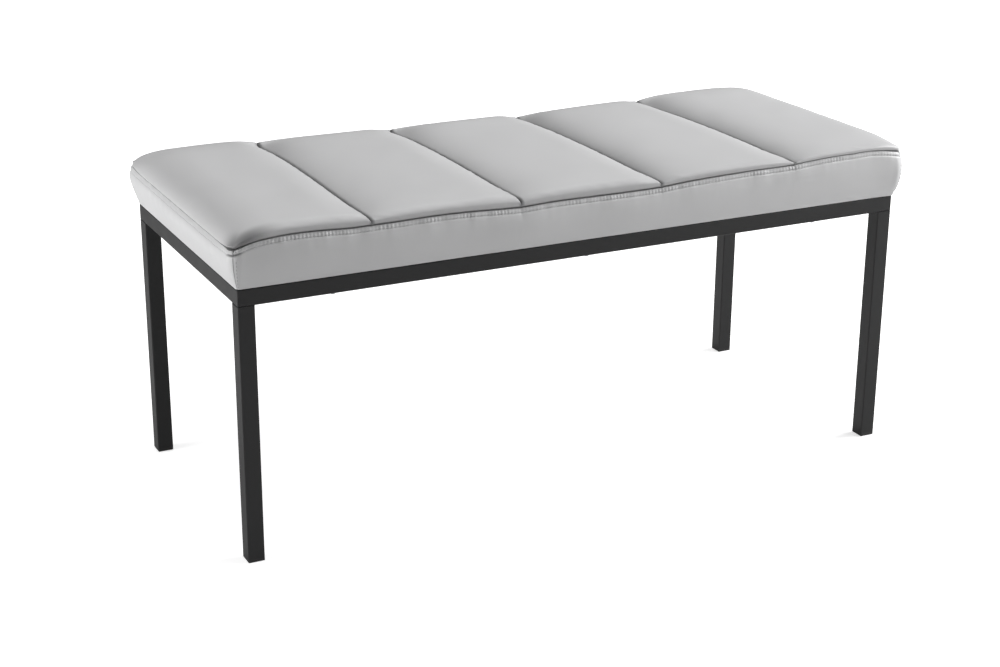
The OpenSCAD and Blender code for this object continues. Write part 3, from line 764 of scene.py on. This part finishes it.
# The four bands, from the seam down to the rails and in under the board
print("stage 7: side bands")
bandSettings = {
    "drawIn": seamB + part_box("front_rail")[0][1],   # how far the bottom lies inside the seam
    # how fast the bottom draws in, how far the band swells and how low, on each side
    "front": (3, 0.0046, 1.6),
    "back": (3, 0.0046, 1.6),
    "left": (3, 0.0052, 2.2),
    "right": (8, 0.0060, 1.5),
    "cornerFlat": (0.75, 0.035),    # share of the swell lost at the front left corner, and its reach
    "along": (0.0003, 0.0014),      # spacing of the stations along the band, at its ends and in its middle
    "rows": (0.0008, 0.0026),       # and of the rows, near the seam and below
    "closeRows": 18,
    "height": 0.070, "lastRow": 0.003,  # a band's height for those rows, and its part below the last
    "curl": 0.0016,                 # radius at the bottom edge
    "curlTurns": (0, 22, 45, 67, 90),
    "hem": 0.026,
    "hemShares": (1.0, 0.75, 0.5, 0.25),
    "cornerSeam": 0.0008,
    "cornerFold": 0.004,
    "stitchDrop": 0.0068,           # topstitch below the seam
    "stitchPitch": 0.0056,
    "dip": (0.0009, 0.0012),        # the thread pulls the cover in: depth and reach
    "pucker": (0.0005, 0.0042, 0.0032),  # the puckers it makes: depth, place below the seam and reach
    "puckerDrift": (0.4, 0.05),     # share of them that comes and goes, and over what length
    "endShare": 0.25,               # share of the row's shade and dip at the ends of the seat
    "ripples": [(0.034, 0.0005, 0.020), (0.013, 0.00022, 0.010)],  # wavelength, height, reach down
    "rippleSkew": 0.25,
    "wave": (0.15, 0.0006),         # wavelength and height of the slow wave in the whole band
    "waveEnds": (3, 4),             # it fades out over the lowest third and the top quarter
    "cornerClear": 0.02, "seamClear": 0.003,  # waves and ripples fade out over these
    # wrinkle at the corners, and the roll of the cover above it
    "wrinkle": {"drop": 0.0076, "depth": 0.0020, "reach": 0.015, "width": 0.0008,
                "rollShare": 0.6, "rollPlace": 0.55, "rollWidth": 0.0018},
    # painted shade along the topstitch: how dark, and the share of it that comes and goes with the stitches
    "rowShade": 0.50, "rowTicks": 0.6, "rowWidth": 0.0009,
    "aboveShade": 0.22, "aboveTicks": 0.8, "aboveEdge": 0.001,
    "tickLength": 0.013,
    # painted shade in the corner wrinkle, in the turn into the seam and in the upright seams
    "wrinkleShade": (1.0, 0.0018),  # strength and width
    "turnShade": (0.6, 0.03),       # in the turn into the seam, and how near the corners it is darker still
    "endShade": (0.6, 0.0008),      # in the upright seams
}
sideSeeds = {"front": 100, "right": 200, "back": 300, "left": 400}
seedSteps = {"pucker": 5, "wave": 9, "ticks": 20}


def onLongSide(side):
    return side in ("front", "back")


# The topstitch shows less along the ends of the seat
def rowStrength(side):
    return 1.0 if onLongSide(side) else bandSettings["endShare"]


# Share of the band's height of each row, closer together near the seam
def bandRows(s):
    near, far = s["rows"]
    depths = [k * near for k in range(s["closeRows"])]
    while depths[-1] + far < s["height"] - s["lastRow"]:
        depths.append(depths[-1] + far)
    return 1 - np.array(depths[::-1]) / s["height"]


def bandInset(side, x, y, toCorner, t):
    s = bandSettings
    lost, reach = s["cornerFlat"]
    beside = fall(toCorner, reach)
    flat = lost * beside * ((x < 0) & (y < 0))

    def profile(power, swell, low):
        return s["drawIn"] * (1 - t) ** power - swell * (1 - flat) * np.sin(math.pi * t ** low)

    # where two bands meet they share the profile of the end
    own = profile(*s[side])
    if not onLongSide(side):
        return own
    return own * (1 - beside) + np.where(x > 0, profile(*s["right"]), profile(*s["left"])) * beside


# Stations along one side, counter-clockwise from above, with the seam's height and the distance to a corner
def sideStations(side):
    half = seamA if onLongSide(side) else seamB
    along = stationsBetween(-half, half, *bandSettings["along"])
    if side == "front":
        x, y = along, 0 * along - seamB
    elif side == "back":
        x, y = -along, 0 * along + seamB
    elif side == "right":
        x, y = 0 * along + seamA, along
    else:
        x, y = 0 * along - seamA, -along
    if onLongSide(side):
        height = panelWise(seamHeight, x, y)
    else:
        height = topHeight(panelCount - 1 if side == "right" else 0, x, y)
    return x, y, height, half - np.abs(along)


# Distance below the seam at share t of the way up from the hem, and the share at such a distance
def dropAt(x, y, height, t):
    turn = creaseSettings["bandShare"] * creaseRadius(x, y)
    return (1 - t) * (height - turn - (hemZ - railTop)) + turn


def shareAt(x, y, height, drop):
    turn = creaseSettings["bandShare"] * creaseRadius(x, y)
    return 1 - (drop - turn) / (height - turn - (hemZ - railTop))


# How far the topstitch pulls the cover in: a dip along the row, and puckers above it
def stitchPull(side, along, drop):
    s = bandSettings
    depth, reach = s["dip"]
    row = rowStrength(side) * depth * fall(drop - s["stitchDrop"], reach)
    depth, place, reach = s["pucker"]
    share, length = s["puckerDrift"]
    comes = 1 - share + share * drift(along, 0 * along, length, sideSeeds[side] + seedSteps["pucker"])
    lobe = comes * fall(drop - place, reach)
    return row - depth * lobe * np.cos(2 * math.pi * along / s["stitchPitch"])


# Ripples below the seam and a slow wave in the whole band, away from its corners
def bandRipples(side, along, toCorner, drop, t):
    s, seed = bandSettings, sideSeeds[side]
    clear = np.clip(toCorner / s["cornerClear"], 0, 1)
    total = 0 * drop
    for k, (wavelength, size, reach) in enumerate(s["ripples"]):
        fade = clear * fall(drop, reach, power=1) * np.clip(drop / s["seamClear"], 0, 1)
        total = total + size * fade * drift(along, s["rippleSkew"] * drop, wavelength, seed + k)
    wavelength, size = s["wave"]
    low, high = s["waveEnds"]
    calm = clear * np.clip(t * low, 0, 1) * np.clip((1 - t) * high, 0, 1)
    return total + size * calm * drift(along, drop, wavelength, seed + seedSteps["wave"])


def cornerWrinkle(toCorner, drop):
    s = bandSettings["wrinkle"]
    fold = fall(drop - s["drop"], s["width"])
    roll = s["rollShare"] * fall(drop - s["rollPlace"] * s["drop"], s["rollWidth"])
    return s["depth"] * fall(toCorner, s["reach"]) * (fold - roll)


# Point on a band's outside, at share t of the way up from the hem
def bandPoint(side, x, y, height, toCorner, t, lift=0.0):
    radius = seat["cornerRadius"] + (seat["topCorner"] - seat["cornerRadius"]) * t ** 2
    px, py, out = roundedPlan(x, y, radius)
    drop = dropAt(x, y, height, t)
    along = x if onLongSide(side) else y
    inset = bandInset(side, x, y, toCorner, t) + stitchPull(side, along, drop)
    if onLongSide(side):
        inset = inset + creaseSettings["tuck"] * fall(drop, creaseSettings["tuckReach"])
    inset = inset - bandRipples(side, along, toCorner, drop, t) + cornerWrinkle(toCorner, drop)
    seam = bandSettings["cornerSeam"]
    near = np.clip(1 - toCorner / seam, 0, 1)
    inset = inset + seam * (1 - np.sqrt(1 - near ** 2)) - lift
    return np.stack([px - out[..., 0] * inset, py - out[..., 1] * inset, railTop + height - drop], -1)


# Columns of points from the hem's edge under the board, out and round the curl at the band's bottom
def bandBottom(side, x, y, foot, out):
    s = bandSettings
    curl, hem = [], []
    for inwards, down in map(turnShares, s["curlTurns"]):
        point = foot.copy()
        point[:, :2] -= out * s["curl"] * inwards
        point[:, 2] = hemZ + (foot[:, 2] - hemZ) * (1 - down)
        curl.append(point)
    inward = s["drawIn"] + s["hem"]
    if onLongSide(side):
        hemEdge = np.stack([x * (1 - inward / seamA), np.sign(y) * (seamB - inward)], -1)
    else:
        hemEdge = np.stack([np.sign(x) * (seamA - inward), y * (1 - inward / seamB)], -1)
    for share in s["hemShares"]:
        flat = curl[-1].copy()
        flat[:, :2] = flat[:, :2] * (1 - share) + hemEdge * share
        hem.append(flat)
    return hem + curl[::-1]


# Columns of points that turn from the band's top edge into the seam
def bandTop(x, y, edge):
    radius = creaseRadius(x, y)[:, None]
    rise = creaseSettings["bandShare"] * radius - panelSettings["gap"]
    out = roundedPlan(x, y, seat["topCorner"])[2]
    turn = []
    for inwards, up in map(turnShares, panelSettings["turns"]):
        point = edge.copy()
        point[:, :2] -= out * creaseSettings["deep"] * radius * inwards
        point[:, 2:] += rise * up
        turn.append(point)
    fold = turn[-1].copy()
    fold[:, :2] -= out * panelSettings["foldIn"]
    return turn + [fold]


# Painted shade: darker along the topstitch and above it, and in the wrinkle at the front left corner
def bandPaintedShade(side, x, y, toCorner, drop):
    s = bandSettings
    along = (x if onLongSide(side) else y)[:, None]
    uneven = drift(along, 0 * along, s["tickLength"], sideSeeds[side] + seedSteps["ticks"])
    ticks = np.clip(0.5 + 0.5 * np.cos(2 * math.pi * along / s["stitchPitch"]) + 0.5 * uneven, 0, 1)
    row = fall(drop - s["stitchDrop"], s["rowWidth"]) * (1 - s["rowTicks"] + s["rowTicks"] * ticks)
    above = np.clip((s["stitchDrop"] - drop) / s["aboveEdge"], 0, 1)
    above = above * (1 - s["aboveTicks"] + s["aboveTicks"] * ticks)
    strength, width = s["wrinkleShade"]
    wrinkle = fall(toCorner, s["wrinkle"]["reach"], power=4) * ((x < 0) & (y < 0))
    wrinkle = strength * fall(drop - s["wrinkle"]["drop"], width) * wrinkle[:, None]
    share = rowStrength(side)
    return np.max([share * s["rowShade"] * row, share * s["aboveShade"] * above, wrinkle], axis=0)


def makeBand(side):
    s = bandSettings
    x, y, height, toCorner = sideStations(side)
    rows = bandRows(s)
    t = np.broadcast_to(rows, (len(x), len(rows)))
    wall = bandPoint(side, *[v[:, None] + 0 * t for v in (x, y, height, toCorner)], t)
    out = roundedPlan(x, y, seat["cornerRadius"])[2]
    bottom = bandBottom(side, x, y, wall[:, 0], out)
    top = bandTop(x, y, wall[:, -1])
    points = np.stack(bottom + [wall[:, k] for k in range(1, len(rows))] + top, 1)
    # both ends fold inwards at the corner seams
    ends = []
    for k in (0, -1):
        end = points[k].copy()
        end[:, :2] -= out[k] * s["cornerFold"]
        ends.append(end[None])
    points = np.concatenate([ends[0], points, ends[1]])
    # painted shade along the topstitch, in the wrinkle and in the seams
    drop = dropAt(*[v[:, None] + 0 * t for v in (x, y, height)], t)[:, 1:]
    paintedShade = np.zeros(points.shape[:2])
    paintedShade[1:-1, len(bottom):-len(top)] = bandPaintedShade(side, x, y, toCorner, drop)
    strength, reach = s["endShade"]
    paintedShade[1:-1] = np.maximum(paintedShade[1:-1], strength * fall(toCorner[:, None], reach))
    strength, reach = s["turnShade"]
    paintedShade[1:-1, -len(top):] = (strength + (1 - strength) * fall(toCorner, reach))[:, None]
    paintedShade[0] = paintedShade[-1] = 1
    piece = sheetObject(f"{side}Band", points, (), leatherette, seat["sheet"], foldedRows=1, paintedShade=paintedShade)
    declarePadded(piece, f"{side}_band")


for side in sideSeeds:
    makeBand(side)


# Topstitch round the bands, and a row down the long side of each corner seam
print("stage 8: stitches")
stitchSettings = {
    "length": 0.0042, "thick": 0.0007, "sides": 8, "rings": 6,
    "bendPower": 4, "sink": 0.00005,
    "fromEnds": 0.006,              # a row along a side starts and ends this far from the corners
    "fromCorner": 0.0045,           # the corner rows stand this far from the corner seams
    "cornerSpan": (0.06, 0.80),     # and reach between these shares of the band's height,
    "cornerHeight": 0.06,           # which is about this
    "probe": (0.0008, 0.01),        # steps along the band, and up it as a share, that give its directions
}


# One stitch along X at the origin, its ends bent down into the cover
def makeStitch(s):
    bpy.ops.mesh.primitive_uv_sphere_add(segments=s["sides"], ring_count=s["rings"], radius=0.5)
    stitch = bpy.context.object
    stitch.name = "stitch"
    bpy.ops.object.mode_set(mode="EDIT")
    bpy.ops.mesh.select_all(action="SELECT")
    bpy.ops.transform.rotate(value=math.pi / 2, orient_axis="Y", center_override=(0, 0, 0))
    bpy.ops.transform.resize(value=(s["length"], s["thick"], s["thick"]), center_override=(0, 0, 0))
    bpy.ops.object.mode_set(mode="OBJECT")
    for v in stitch.data.vertices:
        v.co.z -= s["thick"] * (2 * v.co.x / s["length"]) ** s["bendPower"]
    return stitch


# Copies of the stitch, one at each place with its run and the cover's outward direction
def layStitches(name, stitch, places, runs, outs):
    local = np.array([v.co for v in stitch.data.vertices])
    faces = [list(p.vertices) for p in stitch.data.polygons]
    runs = runs / np.linalg.norm(runs, axis=1, keepdims=True)
    outs = outs - runs * np.sum(outs * runs, 1, keepdims=True)
    outs = outs / np.linalg.norm(outs, axis=1, keepdims=True)
    across = np.cross(outs, runs)
    verts = (places[:, None] + local[None, :, :1] * runs[:, None] + local[None, :, 1:2] * across[:, None]
             + local[None, :, 2:] * outs[:, None]).reshape(-1, 3)
    allFaces = [[k * len(local) + v for v in face] for k in range(len(places)) for face in faces]
    piece = addPiece(name, verts, allFaces, thread)
    piece.data.shade_smooth()
    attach(piece, "root")


# Places along a side at the given pitch, with the seam's height there
def placesAlong(side, pitch, clear):
    x, y, height, toCorner = sideStations(side)
    along = np.cumsum(np.hypot(np.diff(x, prepend=x[0]), np.diff(y, prepend=y[0])))
    wanted = np.arange(clear, along[-1] - clear, pitch)
    return [np.interp(wanted, along, v) for v in (x, y, height, toCorner)]


# Points on a band at places given along and up it, and its directions there: along it, up it and outwards
def bandPlaces(side, x, y, height, toCorner, t):
    step, rise = stitchSettings["probe"]
    sx, sy = (step, 0.0) if onLongSide(side) else (0.0, step)

    def at(dx, dy, dt):
        return bandPoint(side, x + dx, y + dy, height, toCorner, t + dt, stitchSettings["sink"])

    run = at(sx, sy, 0) - at(-sx, -sy, 0)
    up = at(0, 0, rise) - at(0, 0, -rise)
    out = np.cross(run, up)
    centre = at(0, 0, 0)
    out *= np.sign(np.sum(out[:, :2] * centre[:, :2], 1))[:, None]
    return centre, run, up, out


def stitchSide(side, stitch):
    x, y, height, toCorner = placesAlong(side, bandSettings["stitchPitch"], stitchSettings["fromEnds"])
    t = shareAt(x, y, height, bandSettings["stitchDrop"])
    centre, run, _, out = bandPlaces(side, x, y, height, toCorner, t)
    layStitches(f"{side}Topstitch", stitch, centre, run, out)


def stitchCorners(side, stitch):
    s = stitchSettings
    found = []
    for end in (-1, 1):
        t = np.arange(*s["cornerSpan"], bandSettings["stitchPitch"] / s["cornerHeight"])
        x = np.full_like(t, end * (seamA - s["fromCorner"]))
        y = np.full_like(t, -seamB if side == "front" else seamB)
        height = panelWise(seamHeight, x, y)
        centre, _, up, out = bandPlaces(side, x, y, height, seamA - np.abs(x), t)
        found.append((centre, up, out))
    layStitches(f"{side}CornerStitch", stitch, *[np.concatenate(parts) for parts in zip(*found)])


stitch = makeStitch(stitchSettings)
for side in sideSeeds:
    stitchSide(side, stitch)
for side in ("front", "back"):
    stitchCorners(side, stitch)
bpy.data.objects.remove(stitch)


# Foam under the cover
print("stage 9: foam and dust cover")
foamSettings = {
    "step": 0.006,                 # spacing of the topper's points
    "under": 0.0026,               # it lies this far below the cover,
    "inset": 0.0112,               # this far inside the seam,
    "dip": (0.012, 0.009),         # and is pinched at the channels: depth and reach
    "gap": 0.0002,                 # left free round the two
    "round": (0.004, 4),           # edges of the block: radius and steps
}


# Closed pad from a grid of top points down to a flat underside
def padObject(name, points, floorZ):
    rows, cols = points.shape[:2]
    upper = np.arange(rows * cols).reshape(rows, cols)
    lower = upper + rows * cols
    low = points.copy()
    low[..., 2] = floorZ
    underside = gridFaces(lower)[:, [0, 3, 2, 1]]
    faces = np.concatenate([gridFaces(upper), underside, ringFaces(rimOf(upper), rimOf(lower))])
    piece = addPiece(name, np.concatenate([points.reshape(-1, 3), low.reshape(-1, 3)]), faces.tolist(),
                     foamSkin)
    piece.data.shade_smooth()
    return piece


def makeTopper(s):
    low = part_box("foam_topper")[0]
    x, y = evenGrid((-seamA, -seamB), (seamA, seamB), s["step"])
    x, y = x * (1 - s["inset"] / seamA), y * (1 - s["inset"] / seamB)
    z = panelWise(topHeight, x, y)
    toChannel = np.min([np.abs(x - c) for c in channels], axis=0)
    z = railTop + z - s["under"] - s["dip"][0] * fall(toChannel, s["dip"][1])
    px, py, _ = roundedPlan(x, y, seat["topCorner"])
    piece = padObject("foamTopper", np.stack([px, py, z], -1), low[2] + s["gap"])
    declarePadded(piece, "foam_topper")


def makeFoamBlock(s):
    low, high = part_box("foam_block")
    bpy.ops.mesh.primitive_cube_add(size=1, location=(0, 0, (low[2] + high[2]) / 2))
    block = bpy.context.object
    block.name = "foamBlock"
    block.scale = (high[0] - low[0], high[1] - low[1], high[2] - low[2] - s["gap"])
    bpy.ops.object.transform_apply(location=True, rotation=True, scale=True)
    bevel = block.modifiers.new("round", "BEVEL")
    bevel.width, bevel.segments = s["round"]
    bpy.ops.object.modifier_apply(modifier=bevel.name)
    block.data.materials.append(foamSkin)
    block.data.shade_smooth()
    declarePadded(block, "foam_block")


makeTopper(foamSettings)
makeFoamBlock(foamSettings)


# Dust cover: thin cloth drawn tight under the seat, its edges between the hem and the rails
dustSettings = {
    "step": 0.012, "wall": 0.0004,
    "sag": 0.0012,
    "wave": (0.12, 0.0004),        # wavelength and height
    "seed": 7,
    "lap": 0.010,                  # it is held flat this far in from its edges,
    "ease": 0.05,                  # and sags fully this much farther in
    "brace": 0.016,                # half the width over which the brace holds it up in the middle
    "gap": 0.00005,
}


def makeDustCover(s):
    low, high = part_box("dust_cover")
    x, y = evenGrid(low, high, s["step"])
    toEdge = np.minimum(high[0] - np.abs(x), high[1] - np.abs(y))
    free = np.clip((toEdge - s["lap"]) / s["ease"], 0, 1)
    beside = np.clip((np.abs(x) - s["brace"]) / s["ease"], 0, 1)
    wavelength, size = s["wave"]
    droop = (s["sag"] + size * drift(x, y, wavelength, s["seed"])) * free * beside
    points = np.stack([x, y, high[2] - s["gap"] - 0 * x - droop], -1)
    piece = sheetObject("dustCover", points, (), felt, s["wall"])
    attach(piece, "root")
    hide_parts("dust_cover")


makeDustCover(dustSettings)
